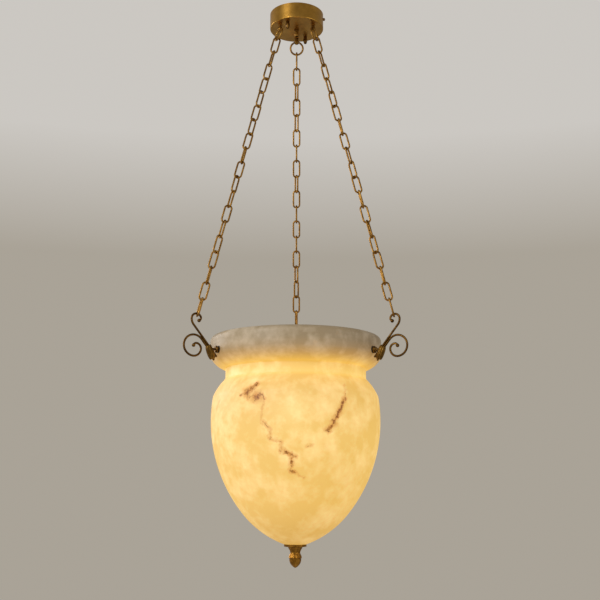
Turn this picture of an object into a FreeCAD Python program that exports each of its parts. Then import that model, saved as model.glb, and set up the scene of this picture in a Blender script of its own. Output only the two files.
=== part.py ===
import FreeCAD, Part
import Sketcher
import math
import os

# Alabaster bowl pendant: a drum canopy with three eye studs, three chains, three scroll
# brackets bolted to the lip of a turned stone bowl, and a lamp cluster standing in the bowl.
# The origin is the centre of the canopy's open rim, on the ceiling. +Z is up and -Y is the
# near side. One chain hangs at the back (+Y) and the other two at the near left and right.

SIZES = [
    # canopy: a spun drum over the ceiling box
    ("canopy_radius", 63.5),
    ("canopy_depth", 37.0),
    ("canopy_wall", 1.2),
    ("canopy_edge", 1.6),
    # crossbar that the ceiling box's screws hold
    ("crossbar_length", 104.0),
    ("crossbar_width", 19.0),
    ("crossbar_thick", 2.4),
    ("box_screw_circle", 69.85),
    ("box_screw_hole", 2.4),
    ("stud_spacing", 88.9),
    ("stud_angle", 62.0),
    ("stud_radius", 2.1),
    ("stud_length", 46.0),
    ("nut_across", 4.6),
    ("nut_height", 2.8),
    ("earth_screw_place", 17.0),
    # hand nuts under the canopy, and its side screw
    ("cap_nut_radius", 5.0),
    ("cap_nut_neck", 4.0),
    ("cap_nut_step", 2.2),
    ("cap_nut_swell", 5.4),
    ("cap_nut_waist", 9.0),
    ("cap_nut_tip", 3.2),
    ("cap_nut_taper", 15.6),
    ("cap_nut_length", 18.0),
    ("side_screw_radius", 2.0),
    ("side_screw_drop", 10.0),
    ("side_screw_head", 3.4),
    ("side_screw_reach", 3.6),
    ("side_screw_rim", 3.5),
    ("side_screw_stand", 5.0),
    # central gland for the lamp cord
    ("gland_radius", 4.6),
    ("gland_flange", 6.2),
    ("gland_flange_thick", 2.0),
    ("gland_tip", 3.6),
    ("gland_tip_length", 3.0),
    ("gland_nut_across", 8.8),
    ("gland_length", 17.0),
    ("gland_bore", 3.2),
    # terminal block inside the canopy
    ("block_length", 30.0),
    ("block_width", 14.0),
    ("block_height", 11.0),
    ("block_place_x", -27.0),
    ("block_place_y", 8.0),
    ("clamp_screw_rise", 2.2),
    ("clamp_screw_length", 7.7),
    # eye studs: turned, with a ball that a ring passes through
    ("eye_circle", 45.0),
    ("eye_drop", 10.1),
    ("eye_ball", 6.0),
    ("eye_collar", 5.2),
    ("eye_neck", 2.7),
    ("eye_collar_height", 1.4),
    ("eye_bead", 4.0),
    ("eye_step", 0.8),
    ("eye_shank", 2.5),
    ("eye_washer", 6.1),
    ("eye_washer_thick", 1.0),
    # rings and chain links
    ("ring_radius", 15.0),
    ("ring_wire", 2.2),
    ("link_wire", 2.0),
    ("link_inside", 37.3),
    ("link_width", 19.0),
    ("link_count", 19.0),
    ("chain_gap", 0.1),
    # bowl, from its rim down
    ("lip_radius", 190.5),
    ("lip_wall", 18.0),
    ("lip_depth", 44.5),
    ("lip_inside", 52.0),
    ("lip_round", 12.0),
    ("lip_under_arc", 50.0),
    ("neck_radius", 156.5),
    ("neck_top", 72.0),
    ("neck_bottom", 95.0),
    ("shoulder_radius", 182.5),
    ("shoulder_depth", 133.5),
    ("shoulder_arc", 120.0),
    ("belly_arc", 320.0),
    ("low_radius", 114.5),
    ("low_depth", 384.4),
    ("low_angle", 39.1),
    ("base_arc", 208.0),
    ("base_radius", 24.5),
    ("bowl_depth", 448.5),
    ("bowl_wall", 10.0),
    ("base_wall", 12.0),
    ("base_flat", 32.0),
    ("base_hole", 6.5),
    # scroll brackets, each two wires bound by a collar
    ("scroll_wire", 2.3),
    ("bolt_depth", 40.0),
    ("bolt_radius", 2.5),
    ("bracket_stand", 20.5),
    ("stem_angle", 50.0),
    ("stem_to_hook", 62.5),
    ("stem_to_spiral", 27.5),
    ("hook_arc", 11.0),
    ("hook_side_arc", 20.0),
    ("hook_turn_in", 62.0),
    ("hook_end_arc", 6.2),
    ("hook_end_turn", 100.0),
    ("spiral_arc", 22.6),
    ("spiral_second_arc", 16.5),
    ("spiral_third_arc", 11.0),
    ("spiral_end_arc", 6.0),
    ("spiral_end_turn", 80.0),
    ("scroll_ball", 3.9),
    ("hook_foot", 21.5),
    ("spiral_foot", 24.0),
    ("spiral_foot_arc", 60.0),
    ("collar_length", 22.0),
    ("collar_wall", 1.6),
    ("collar_round", 2.0),
    ("boss_radius", 7.8),
    ("boss_face", 6.4),
    ("boss_bevel", 2.6),
    ("boss_neck", 5.2),
    ("boss_taper", 7.2),
    ("boss_length", 8.6),
    ("pad_thick", 1.2),
    ("lip_washer_radius", 9.0),
    ("lip_washer_thick", 1.6),
    ("lip_nut_across", 5.5),
    ("lip_nut_height", 3.9),
    # lamp cluster on a threaded rod
    ("rod_radius", 5.0),
    ("rod_bottom", 24.0),
    ("plate_radius", 30.0),
    ("plate_thick", 2.5),
    ("gasket_thick", 2.0),
    ("spider_height", 147.0),
    ("spider_thick", 3.0),
    ("spider_width", 20.0),
    ("spider_hub", 24.0),
    ("lamp_circle", 62.0),
    ("holder_radius", 20.0),
    ("holder_foot", 16.0),
    ("holder_flare", 10.0),
    ("holder_height", 50.0),
    ("holder_bore", 13.4),
    ("holder_depth", 27.0),
    ("cap_radius", 13.1),
    ("cap_length", 26.0),
    ("cap_contact", 5.2),
    ("cap_taper", 6.5),
    ("bulb_radius", 30.0),
    ("bulb_neck", 14.5),
    ("bulb_neck_rise", 8.8),
    ("bulb_neck_arc", 66.0),
    ("bulb_rise", 52.0),
    ("rod_nut_across", 9.5),
    ("rod_nut_height", 7.0),
    # finial below the bowl
    ("flange_radius", 24.2),
    ("flange_thick", 6.0),
    ("flange_face", 4.6),
    ("finial_top", 15.9),
    ("finial_waist", 11.1),
    ("finial_cup", 14.4),
    ("finial_waist_drop", 12.0),
    ("finial_cup_drop", 21.0),
    ("finial_neck_arc", 20.2),
    ("finial_cup_arc", 14.4),
    ("finial_cup_edge", 1.5),
    ("acorn_top", 24.5),
    ("acorn_shoulder", 27.0),
    ("acorn_radius", 13.0),
    ("acorn_arc", 31.7),
    ("acorn_tip", 4.0),
    ("acorn_tip_rise", 2.0),
    ("finial_length", 43.0),
    # fits, and how far a thread stands past its nut
    ("thread_clearance", 0.05),
    ("thread_spare", 1.0),
    ("bolt_clearance", 0.4),
    ("seat_clearance", 0.1),
    ("eye_clearance", 0.8),
    ("sway_clearance", 0.8),
]

SIDES = [("back", 90.0), ("left", 210.0), ("right", 330.0)]
QUARTER = 90.0

# Turn of each link about the chain's line, in degrees from facing the near side.
LINK_TURNS = {
    "back": [90, 0, 68, 176, 63, 179, 90, 0, 67, 0, 90, 0, 90, 0, 64, 128, 12, 78, 0],
    "left": [175, 63, 140, 24, 124, 9, 124, 9, 95, 5, 120, 56, 172, 57, 132, 16, 90, 0, 66],
    "right": [25, 119, 50, 128, 48, 164, 90, 5, 120, 53, 169, 90, 0, 115, 51, 167, 90, 5, 100],
}

doc = FreeCAD.newDocument("alabaster_bowl_pendant")
sheet = doc.addObject("Spreadsheet::Sheet", "Sizes")
for row, (alias, number) in enumerate(SIZES, start=1):
    sheet.set(f"A{row}", alias)
    sheet.set(f"B{row}", str(number))
    sheet.setAlias(f"B{row}", alias)
doc.recompute()


class Size:
    """A sheet value, or a sum or product of such values, with the expression that binds it."""

    def __init__(self, value, text):
        self.value = value
        self.text = text

    def __add__(self, other):
        other = as_size(other)
        return Size(self.value + other.value, f"({self.text} + {other.text})")

    def __sub__(self, other):
        other = as_size(other)
        return Size(self.value - other.value, f"({self.text} - {other.text})")

    def __mul__(self, other):
        other = as_size(other)
        return Size(self.value * other.value, f"({self.text} * {other.text})")

    def __truediv__(self, other):
        other = as_size(other)
        return Size(self.value / other.value, f"({self.text} / {other.text})")

    def __neg__(self):
        return Size(-self.value, f"(-1 * {self.text})")

    def __radd__(self, other):
        return as_size(other) + self

    def __rsub__(self, other):
        return as_size(other) - self

    def __rmul__(self, other):
        return as_size(other) * self


def as_size(item):
    return item if isinstance(item, Size) else Size(float(item), repr(float(item)))


def cosine(angle):
    return Size(math.cos(math.radians(angle.value)), f"cos({angle.text})")


def sine(angle):
    return Size(math.sin(math.radians(angle.value)), f"sin({angle.text})")


class Sheet:
    """Gives each alias of the sheet as a Size."""

    def __getattr__(self, alias):
        return Size(float(sheet.get(alias)), f"Sizes.{alias}")


s = Sheet()
nodes = []


# ---------------------------------------------------------------- layout
def polar(radius, angle, z):
    turn = math.radians(angle)
    return FreeCAD.Vector(radius * math.cos(turn), radius * math.sin(turn), z)


def chain_layout():
    """Where the eyes and hooks are: the chain's length and lean settle how low the bowl hangs."""
    link_reach = s.link_inside.value + 2.0 * s.link_wire.value
    pitch = s.link_inside.value - s.chain_gap.value
    first = 2.0 * s.ring_radius.value - s.ring_wire.value - s.link_wire.value - s.chain_gap.value
    last = first + link_reach + (s.link_count.value - 1.0) * pitch
    reach = last - s.link_wire.value - s.scroll_wire.value - s.sway_clearance.value
    stem = math.radians(s.stem_angle.value)
    side = s.scroll_wire.value + s.hook_side_arc.value
    curl_out = s.bracket_stand.value + s.stem_to_hook.value * math.cos(stem) - side * math.sin(stem)
    curl_out = s.lip_radius.value + curl_out + s.hook_side_arc.value - s.hook_arc.value
    lean = math.asin((curl_out - s.eye_circle.value) / (reach + s.hook_arc.value))
    eye_z = -(s.canopy_depth.value + s.eye_drop.value)
    hook_z = eye_z - reach * math.cos(lean)
    curl_up = s.stem_to_hook.value * math.sin(stem) + side * math.cos(stem)
    bolt_z = hook_z - s.hook_arc.value * math.cos(lean) - curl_up
    return {
        "first": first, "pitch": pitch, "lean": lean, "eye_z": eye_z, "hook_z": hook_z,
        "hook_r": curl_out - s.hook_arc.value * math.sin(lean),
        "curl": (curl_out, bolt_z + curl_up), "bolt_z": bolt_z,
        "rim_z": bolt_z + s.bolt_depth.value,
    }


plan = chain_layout()
RIM_Z = plan["rim_z"]
BASE_Z = RIM_Z - s.bowl_depth.value
SPIDER_Z = BASE_Z + s.base_wall.value + s.spider_height.value


# ---------------------------------------------------------------- helpers
def keep(item, name):
    """Makes an object a node, with the name of its file as its label."""
    item.Label = name
    nodes.append(item)
    return item


def place(item, position, angle=0.0):
    turn = FreeCAD.Rotation(FreeCAD.Vector(0, 0, 1), angle)
    item.Placement = FreeCAD.Placement(position, turn)
    return item


def bind(item, **sizes):
    for name, size in sizes.items():
        item.setExpression(name, as_size(size).text)
    return item


def origin_plane(body, role):
    return [item for item in body.Origin.OriginFeatures if item.Role == role][0]


def new_sketch(body, role, name):
    sketch = body.newObject("Sketcher::SketchObject", name)
    sketch.AttachmentSupport = [(origin_plane(body, role), "")]
    sketch.MapMode = "FlatFace"
    return sketch


def fix_point(sketch, geometry, end, x, y, tag):
    """Ties a point of a sketch to its two bound distances from the origin."""
    for axis, size, line in (("DistanceX", x, -2), ("DistanceY", y, -1)):
        if abs(size.value) < 1e-9:
            sketch.addConstraint(Sketcher.Constraint("PointOnObject", geometry, end, line))
            continue
        rule = Sketcher.Constraint(axis, -1, 1, geometry, end, size.value)
        index = sketch.addConstraint(rule)
        sketch.renameConstraint(index, f"{tag}{axis[-1]}")
        sketch.setExpression(f"Constraints.{tag}{axis[-1]}", size.text)


def arc_middle(start, finish, radius, bulge):
    """Middle point of an arc; bulge is +1 where it lies left of the way from start to finish."""
    chord = finish - start
    half = chord.Length / 2.0
    rise = radius - math.sqrt(radius * radius - half * half)
    side = FreeCAD.Vector(-chord.y, chord.x, 0).normalize() * (rise * bulge)
    return (start + finish) / 2.0 + side


def outline(sketch, points):
    """Closed outline. A point is (x, y), or (x, y, radius, bulge) for an arc that ends there."""
    points = [tuple(as_size(item) for item in point[:3]) + tuple(point[3:]) for point in points]
    spots = [FreeCAD.Vector(point[0].value, point[1].value, 0) for point in points]
    starts, ends = [], []
    for index, point in enumerate(points):
        start, finish = spots[index - 1], spots[index]
        if len(point) == 2:
            item = sketch.addGeometry(Part.LineSegment(start, finish))
        else:
            middle = arc_middle(start, finish, point[2].value, point[3])
            item = sketch.addGeometry(Part.Arc(start, middle, finish))
        near = 1 if sketch.getPoint(item, 1).distanceToPoint(start) < 1e-6 else 2
        starts.append((item, near))
        ends.append((item, 3 - near))
    for index, point in enumerate(points):
        following = starts[(index + 1) % len(points)]
        sketch.addConstraint(Sketcher.Constraint("Coincident", *ends[index], *following))
        fix_point(sketch, *ends[index], point[0], point[1], f"p{index}")
        if len(point) == 4:
            rule = Sketcher.Constraint("Radius", ends[index][0], point[2].value)
            item = sketch.addConstraint(rule)
            sketch.renameConstraint(item, f"arc{index}")
            sketch.setExpression(f"Constraints.arc{index}", point[2].text)
    return sketch


def circle(sketch, x, y, radius, tag):
    centre = FreeCAD.Vector(x.value, y.value, 0)
    item = sketch.addGeometry(Part.Circle(centre, FreeCAD.Vector(0, 0, 1), radius.value))
    fix_point(sketch, item, 3, x, y, tag)
    index = sketch.addConstraint(Sketcher.Constraint("Radius", item, radius.value))
    sketch.renameConstraint(index, f"{tag}R")
    sketch.setExpression(f"Constraints.{tag}R", radius.text)


def turned(name, points):
    """A body turned about its own Z axis from a half outline."""
    body = doc.addObject("PartDesign::Body", name)
    sketch = outline(new_sketch(body, "XZ_Plane", f"{name}_outline"), points)
    turn = body.newObject("PartDesign::Revolution", f"{name}_turned")
    turn.Profile = sketch
    turn.ReferenceAxis = (sketch, ["V_Axis"])
    turn.Angle = 360.0
    body.Tip = turn
    doc.recompute()
    return body


def drill(body, role, holes, length, name, forwards=False):
    """Cuts round holes, each (x, y, radius), from an origin plane, and proves that they cut."""
    before = body.Shape.Volume
    sketch = new_sketch(body, role, f"{name}_sketch")
    for index, (x, y, radius) in enumerate(holes):
        circle(sketch, as_size(x), as_size(y), as_size(radius), f"hole{index}")
    pocket = body.newObject("PartDesign::Pocket", name)
    pocket.Profile = sketch
    pocket.Reversed = forwards
    bind(pocket, Length=length)
    body.Tip = pocket
    doc.recompute()
    if body.Shape.Volume > before - 1e-3:
        raise RuntimeError(f"{name} cuts nothing")
    return pocket


def around(body, feature, count, name):
    """Repeats a feature evenly about the body's Z axis."""
    pattern = body.newObject("PartDesign::PolarPattern", name)
    pattern.Originals = [feature]
    pattern.Axis = (origin_plane(body, "Z_Axis"), [""])
    pattern.Angle = 360.0
    pattern.Occurrences = count
    body.Tip = pattern
    doc.recompute()
    return pattern


def tube(name, radius, bore, height):
    """A round washer, bush or gasket: a bored cylinder standing on z = 0."""
    solid = bind(doc.addObject("Part::Cylinder", f"{name}_round"), Radius=radius, Height=height)
    hole = bind(doc.addObject("Part::Cylinder", f"{name}_bore"), Radius=bore, Height=height)
    ring = doc.addObject("Part::Cut", name)
    ring.Base = solid
    ring.Tool = hole
    doc.recompute()
    return ring


def hex_nut(name, across, bore, height):
    solid = bind(doc.addObject("Part::Prism", f"{name}_hex"), Circumradius=across, Height=height)
    solid.Polygon = 6
    hole = bind(doc.addObject("Part::Cylinder", f"{name}_bore"), Radius=bore, Height=height)
    nut = doc.addObject("Part::Cut", name)
    nut.Base = solid
    nut.Tool = hole
    doc.recompute()
    return nut


def turned_to(shape, placement):
    """A copy of a shape moved by a placement."""
    copy = shape.copy()
    copy.Placement = placement.multiply(copy.Placement)
    return copy


def shaped(name, shape):
    item = doc.addObject("Part::Feature", name)
    item.Shape = shape
    return keep(item, name)


def group(name, form, placements):
    """One node of several like solids, each a copy of a form."""
    solids = [turned_to(form.Shape, placement) for placement in placements]
    return shaped(name, Part.Compound(solids))


def upright(radius, angle, z):
    turn = FreeCAD.Rotation(FreeCAD.Vector(0, 0, 1), angle)
    return FreeCAD.Placement(polar(radius, angle, z), turn)


def radial(radius, angle, z):
    """Placement whose local Z points outwards at an angle about the axis."""
    turn = FreeCAD.Rotation(FreeCAD.Vector(0, 0, 1), polar(1.0, angle, 0.0))
    return FreeCAD.Placement(polar(radius, angle, z), turn)


def stud_places(z):
    half = s.stud_spacing.value / 2.0
    return [upright(half, s.stud_angle.value + turn, z) for turn in (0.0, 180.0)]


# ---------------------------------------------------------------- ceiling side
def ceiling_crossbar():
    """Steel strap with two screw holes to the ceiling box, two tapped ends and an earth hole."""
    body = doc.addObject("PartDesign::Body", "crossbar")
    sketch = new_sketch(body, "XY_Plane", "crossbar_outline")
    half, side = s.crossbar_length / 2, s.crossbar_width / 2
    outline(sketch, [(half, side), (-half, side), (-half, -side), (half, -side)])
    pad = body.newObject("PartDesign::Pad", "crossbar_strap")
    pad.Profile = sketch
    pad.Reversed = True
    bind(pad, Length=s.crossbar_thick)
    body.Tip = pad
    doc.recompute()
    tapped = s.stud_radius + s.thread_clearance
    holes = [
        (s.box_screw_circle / 2, 0, s.box_screw_hole),
        (-s.box_screw_circle / 2, 0, s.box_screw_hole),
        (s.stud_spacing / 2, 0, tapped),
        (-s.stud_spacing / 2, 0, tapped),
        (s.earth_screw_place, 0, tapped),
    ]
    drill(body, "XY_Plane", holes, s.crossbar_thick, "crossbar_holes")
    place(body, FreeCAD.Vector(0, 0, 0), s.stud_angle.value)
    keep(body, "ceiling_crossbar")


def crossbar_fasteners():
    stud = doc.addObject("Part::Cylinder", "stud_form")
    bind(stud, Radius=s.stud_radius, Height=s.stud_length)
    doc.recompute()
    group("canopy_studs", stud, stud_places(-s.stud_length.value))
    nut = hex_nut("stud_nut_form", s.nut_across, s.stud_radius + s.thread_clearance, s.nut_height)
    below = -(s.crossbar_thick.value + s.nut_height.value)
    group("crossbar_locknuts", nut, stud_places(below))
    head = s.stud_radius * 2
    reach = s.crossbar_thick + s.nut_height
    screw = turned("earth_screw", [
        (0, 0), (0, -(reach + s.stud_radius)), (head, -(reach + s.stud_radius)), (head, -reach),
        (s.stud_radius, -reach), (s.stud_radius, 0)])
    place(screw, polar(s.earth_screw_place.value, s.stud_angle.value, 0.0))
    keep(screw, "earth_screw")
    cleat = tube("earth_washer", head, s.stud_radius + s.thread_clearance, s.nut_height)
    place(cleat, polar(s.earth_screw_place.value, s.stud_angle.value, -reach.value))
    keep(cleat, "earth_washer")


def canopy_shell():
    """Spun drum, open to the ceiling, bored for the studs, the eyes, the gland and a screw."""
    wall, edge = s.canopy_wall, s.canopy_edge
    inner = s.canopy_radius - wall
    floor = -(s.canopy_depth - wall)
    hole = s.gland_radius + s.bolt_clearance
    body = turned("canopy", [
        (s.canopy_radius, 0),
        (inner, 0),
        (inner, floor),
        (hole, floor),
        (hole, -s.canopy_depth),
        (s.canopy_radius - edge, -s.canopy_depth),
        (s.canopy_radius, -(s.canopy_depth - edge), edge, -1)])
    angle = s.stud_angle
    far = s.stud_spacing / 2
    stud_hole = s.stud_radius + s.bolt_clearance
    eye_hole = s.eye_shank + s.bolt_clearance
    depth = s.canopy_depth + wall
    drill(body, "XY_Plane", [
        (far * cosine(angle), far * sine(angle), stud_hole),
        (-(far * cosine(angle)), -(far * sine(angle)), stud_hole)], depth, "stud_holes")
    eyes = drill(body, "XY_Plane", [(0, s.eye_circle, eye_hole)], depth, "eye_hole")
    around(body, eyes, 3, "eye_holes")
    screw_hole = s.side_screw_radius + s.thread_clearance
    drill(body, "YZ_Plane", [(0, -s.side_screw_drop, screw_hole)], s.canopy_radius + wall, "side_hole", True)
    keep(body, "canopy_shell")


def cap_nuts():
    """Long turned nuts that draw the canopy up; they unscrew by hand."""
    bore = s.stud_radius + s.thread_clearance
    reach = s.stud_length - s.canopy_depth + s.thread_spare
    for name, turn in (("cap_nut_far", 0.0), ("cap_nut_near", 180.0)):
        nut = turned(name, [
            (bore, 0), (s.cap_nut_neck, 0), (s.cap_nut_neck, -s.cap_nut_step),
            (s.cap_nut_radius, -s.cap_nut_swell), (s.cap_nut_radius, -s.cap_nut_waist),
            (s.cap_nut_tip, -s.cap_nut_taper), (0, -s.cap_nut_length), (0, -reach), (bore, -reach)])
        place(nut, polar(s.stud_spacing.value / 2.0, s.stud_angle.value + turn, -s.canopy_depth.value))
        keep(nut, name)


def side_screw():
    """Small thumb screw through the drum's wall on the right."""
    radius, head, seat = s.side_screw_radius, s.side_screw_head, s.seat_clearance
    screw = turned("side_screw", [
        (0, -s.side_screw_reach), (radius, -s.side_screw_reach), (radius, seat),
        (head, seat), (head, s.side_screw_rim), (0, s.side_screw_stand)])
    screw.Placement = radial(s.canopy_radius.value, 0.0, -s.side_screw_drop.value)
    keep(screw, "canopy_side_screw")


def cord_gland():
    """Central nipple that the lamp cord leaves through, with its nut inside the drum."""
    wall = s.canopy_wall
    top, flange = wall + s.nut_height * 2, s.gland_flange_thick
    body = turned("gland", [
        (s.gland_bore, top), (s.gland_bore, -s.gland_length), (s.gland_tip, -s.gland_length),
        (s.gland_radius, -(s.gland_length - s.gland_tip_length)), (s.gland_radius, -flange),
        (s.gland_flange, -flange), (s.gland_flange, 0), (s.gland_radius, 0), (s.gland_radius, top)])
    place(body, FreeCAD.Vector(0, 0, -s.canopy_depth.value))
    keep(body, "cord_gland")
    bore = s.gland_radius + s.thread_clearance
    nut = hex_nut("gland_nut", s.gland_nut_across, bore, s.nut_height)
    place(nut, FreeCAD.Vector(0, 0, wall.value - s.canopy_depth.value))
    keep(nut, "cord_gland_nut")


def terminal_block():
    """Three-way block on the canopy's floor, with its clamp screws."""
    body = doc.addObject("PartDesign::Body", "block")
    sketch = new_sketch(body, "XY_Plane", "block_outline")
    half, side = s.block_length / 2, s.block_width / 2
    outline(sketch, [(side, half), (-side, half), (-side, -half), (side, -half)])
    pad = body.newObject("PartDesign::Pad", "block_body")
    pad.Profile = sketch
    bind(pad, Length=s.block_height)
    body.Tip = pad
    doc.recompute()
    ways = [-s.block_length / 3, as_size(0), s.block_length / 3]
    wells = [(0, way, s.stud_radius) for way in ways]
    drill(body, "XY_Plane", wells, s.block_height, "screw_wells", True)
    floor = s.canopy_wall.value - s.canopy_depth.value
    spot = FreeCAD.Vector(s.block_place_x.value, s.block_place_y.value, floor)
    place(body, spot)
    keep(body, "terminal_block")
    screw = doc.addObject("Part::Cylinder", "clamp_screw_form")
    bind(screw, Radius=s.stud_radius - s.thread_clearance, Height=s.clamp_screw_length)
    doc.recompute()
    offsets = [FreeCAD.Vector(0, way.value, s.clamp_screw_rise.value) for way in ways]
    places = [FreeCAD.Placement(spot + offset, FreeCAD.Rotation()) for offset in offsets]
    group("terminal_screws", screw, places)


# ---------------------------------------------------------------- eyes, rings and chains
def chain_axes(angle):
    """The chain's start, its downward direction, and the two directions across it."""
    lean = plan["lean"]
    start = polar(s.eye_circle.value, angle, plan["eye_z"])
    along = polar(math.sin(lean), angle, -math.cos(lean))
    right = FreeCAD.Vector(1, 0, 0)
    across = (right - along * right.dot(along)).normalize()
    return start, along, across, along.cross(across)


def ring_torus(angle, wire):
    """The ring's form: a torus through the eye, in the plane of the chain and the drum's edge."""
    start, along, _, _ = chain_axes(angle)
    edgeways = polar(1.0, angle + 90.0, 0.0)
    centre = start + along * s.ring_radius.value
    return Part.makeTorus(s.ring_radius.value, wire, centre, along.cross(edgeways))


def eye_studs():
    """Turned studs with a ball end, bored to the sweep of the ring that hangs in them."""
    ball, neck, bead = s.eye_ball.value, s.eye_neck.value, s.eye_bead.value
    shank, collar, collar_foot = s.eye_shank.value, s.eye_collar.value, -s.eye_collar_height.value
    drop, step = s.eye_drop.value, s.eye_step.value
    shank_top = s.canopy_wall.value + 2.0 * s.nut_height.value + s.thread_spare.value
    meet = drop - math.sqrt(ball * ball - neck * neck)
    bead_top = collar_foot - step
    for name, angle in SIDES:
        spots = [
            (0, shank_top), (shank, shank_top), (shank, 0), (collar, 0), (collar, collar_foot),
            (neck, bead_top), (bead, bead_top - step), (bead, bead_top - 2.0 * step),
            (neck, bead_top - 3.0 * step), (neck, -meet)]
        spots = [FreeCAD.Vector(x, 0, z) for x, z in spots]
        edges = [Part.makeLine(a, b) for a, b in zip(spots, spots[1:])]
        side = FreeCAD.Vector(ball, 0, -drop)
        foot = FreeCAD.Vector(0, 0, -drop - ball)
        edges.append(Part.Arc(spots[-1], side, foot).toShape())
        edges.append(Part.makeLine(foot, spots[0]))
        half = Part.Face(Part.Wire(edges))
        solid = half.revolve(FreeCAD.Vector(0, 0, 0), FreeCAD.Vector(0, 0, 1), 360)
        solid.Placement = upright(s.eye_circle.value, angle, -s.canopy_depth.value)
        hole = ring_torus(angle, s.ring_wire.value + s.eye_clearance.value)
        shaped(f"eye_stud_{name}", solid.cut(hole))


def eye_fasteners():
    bore = s.eye_shank + s.thread_clearance
    washer = tube("eye_washer_form", s.eye_washer, bore, s.eye_washer_thick)
    floor = s.canopy_wall.value - s.canopy_depth.value
    places = [upright(s.eye_circle.value, angle, floor) for _, angle in SIDES]
    group("eye_stud_washers", washer, places)
    nut = hex_nut("eye_nut_form", s.nut_across, bore, s.nut_height)
    top = floor + s.eye_washer_thick.value
    places = [upright(s.eye_circle.value, angle, top) for _, angle in SIDES]
    group("eye_stud_nuts", nut, places)


def rings():
    for name, angle in SIDES:
        shaped(f"chain_ring_{name}", ring_torus(angle, s.ring_wire.value))


def link_form():
    """One link, centred on the origin: long along Z and wide along X."""
    bend = s.link_width / 2 - s.link_wire
    straight = s.link_inside + s.link_wire * 2 - bend * 2
    pieces = []
    for end, tilt in ((1, 0.0), (-1, 2.0 * QUARTER)):
        arc = bind(doc.addObject("Part::Torus", "link_bend"), Radius1=bend, Radius2=s.link_wire)
        arc.Angle3 = 2.0 * QUARTER
        lay = FreeCAD.Rotation(FreeCAD.Vector(1, 0, 0), QUARTER)
        flip = FreeCAD.Rotation(FreeCAD.Vector(0, 1, 0), tilt)
        spot = FreeCAD.Vector(0, 0, end * straight.value / 2.0)
        arc.Placement = FreeCAD.Placement(spot, flip.multiply(lay))
        leg = bind(doc.addObject("Part::Cylinder", "link_leg"), Radius=s.link_wire, Height=straight)
        leg.Placement.Base = FreeCAD.Vector(end * bend.value, 0, -straight.value / 2.0)
        pieces += [arc, leg]
    link = doc.addObject("Part::MultiFuse", "link_form")
    link.Shapes = pieces
    doc.recompute()
    return link


def chains():
    """Welded links, each hanging in the one above and turned about the chain's line."""
    link = link_form()
    middle = (s.link_inside.value + 2.0 * s.link_wire.value) / 2.0
    for name, angle in SIDES:
        start, along, across, behind = chain_axes(angle)
        turns = LINK_TURNS[name]
        places = []
        for index in range(int(round(s.link_count.value))):
            turn = math.radians(turns[index % len(turns)])
            wide = across * math.cos(turn) + behind * math.sin(turn)
            spot = start + along * (plan["first"] + middle + index * plan["pitch"])
            up = along * -1.0
            facing = FreeCAD.Rotation(wide, up.cross(wide), up, "ZXY")
            places.append(FreeCAD.Placement(spot, facing))
        group(f"chain_{name}", link, places)


# ---------------------------------------------------------------- bowl
def alabaster_bowl():
    """Turned stone: a heavy lip, a short neck and an egg-shaped belly, in one wall."""
    wall = s.bowl_wall
    inner_lip = s.lip_radius - s.lip_wall
    inner_neck = s.neck_radius - wall
    low_in = wall * cosine(s.low_angle)
    low_up = wall * sine(s.low_angle)
    body = turned("bowl", [
        (s.base_radius, -s.bowl_depth),
        (s.low_radius, -s.low_depth, s.base_arc, -1),
        (s.shoulder_radius, -s.shoulder_depth, s.belly_arc, -1),
        (s.neck_radius, -s.neck_bottom, s.shoulder_arc, -1),
        (s.neck_radius, -s.neck_top),
        (s.lip_radius, -s.lip_depth, s.lip_under_arc, -1),
        (s.lip_radius, -s.lip_round),
        (s.lip_radius - s.lip_round, 0, s.lip_round, -1),
        (inner_lip, 0),
        (inner_lip, -s.lip_inside),
        (inner_neck, -s.neck_top),
        (inner_neck, -s.neck_bottom),
        (s.shoulder_radius - wall, -s.shoulder_depth, s.shoulder_arc - wall, 1),
        (s.low_radius - low_in, -(s.low_depth - low_up), s.belly_arc - wall, 1),
        (s.base_flat, -(s.bowl_depth - s.base_wall), s.base_arc - wall, 1),
        (s.base_hole, -(s.bowl_depth - s.base_wall)),
        (s.base_hole, -s.bowl_depth)])
    hole = s.bolt_radius + s.bolt_clearance
    bolts = drill(body, "XZ_Plane", [(0, -s.bolt_depth, hole)], s.lip_radius * 1.1, "bolt_hole")
    around(body, bolts, 3, "bolt_holes")
    place(body, FreeCAD.Vector(0, 0, RIM_Z))
    keep(body, "alabaster_bowl")


# ---------------------------------------------------------------- scroll brackets
class Path:
    """A line drawn in the bracket's own plane from straight runs and arcs that join smoothly."""

    def __init__(self, x, z, heading):
        self.x, self.z, self.heading = x, z, heading
        self.edges = []

    def point(self, x, z):
        return FreeCAD.Vector(x, 0, z)

    def run(self, length):
        turn = math.radians(self.heading)
        x, z = self.x + length * math.cos(turn), self.z + length * math.sin(turn)
        self.edges.append(Part.makeLine(self.point(self.x, self.z), self.point(x, z)))
        self.x, self.z = x, z
        return self

    def arc(self, radius, sweep):
        """Turns left for a positive sweep in degrees and right for a negative one."""
        side = math.copysign(QUARTER, sweep)
        out = math.radians(self.heading + side)
        cx, cz = self.x + radius * math.cos(out), self.z + radius * math.sin(out)
        spots = []
        for share in (0.5, 1.0):
            back = math.radians(self.heading - side + sweep * share)
            spots.append((cx + radius * math.cos(back), cz + radius * math.sin(back)))
        ends = [self.point(*spots[0]), self.point(*spots[1])]
        self.edges.append(Part.Arc(self.point(self.x, self.z), *ends).toShape())
        self.x, self.z = spots[1]
        self.heading += sweep
        return self

    def wire_solid(self, radius):
        """Round wire along the path, with a rounded foot."""
        first = self.edges[0]
        start = first.valueAt(first.FirstParameter)
        tangent = first.tangentAt(first.FirstParameter)
        section = Part.Wire([Part.makeCircle(radius, start, tangent)])
        solid = Part.Wire(self.edges).makePipeShell([section], True, False)
        return solid.fuse(Part.makeSphere(radius, start))


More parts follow.
